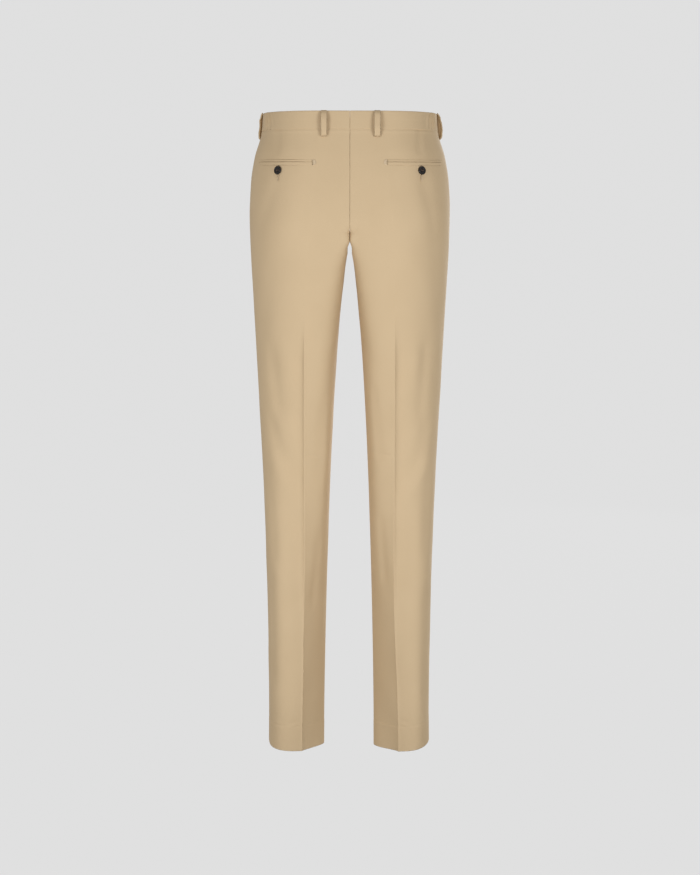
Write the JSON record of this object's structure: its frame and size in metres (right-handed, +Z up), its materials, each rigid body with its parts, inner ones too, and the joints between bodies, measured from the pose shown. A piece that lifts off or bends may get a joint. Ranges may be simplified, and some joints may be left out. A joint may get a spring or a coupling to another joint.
{
  "type": "suit trousers",
  "caption": "Slim suit trousers with pressed creases, belt loops and buttoned back pockets, filled out as worn with no wearer.",
  "frame": {"origin": "middle of the waist ring, at half the height of the waistband", "axes": "+Z up, -Y the wearer's front, +X the wearer's left"},
  "size_m": [0.3352, 0.2632, 1.0846],
  "materials": {
    "wool": "smooth fine matte suiting, beige",
    "horn": "polished dark brown, like horn",
    "zip_tape": "woven tape with a closed coil"
  },
  "bodies": {
    "root": {"back_left": "wool", "front_left": "wool", "side_pocket_facing_left": "wool", "waistband_left": "wool", "back_jet_upper_left": "wool", "back_jet_lower_left": "wool", "back_pocket_button_left": "horn", "belt_loop_back_left": "wool", "belt_loop_side_left": "wool", "belt_loop_front_left": "wool", "back_right": "wool", "front_right": "wool", "side_pocket_facing_right": "wool", "waistband_right": "wool", "back_jet_upper_right": "wool", "back_jet_lower_right": "wool", "back_pocket_button_right": "horn", "belt_loop_back_right": "wool", "belt_loop_side_right": "wool", "belt_loop_front_right": "wool", "waist_button": "horn", "zip": "zip_tape", "fly_shield": "wool"}
  },
  "joints": []
}
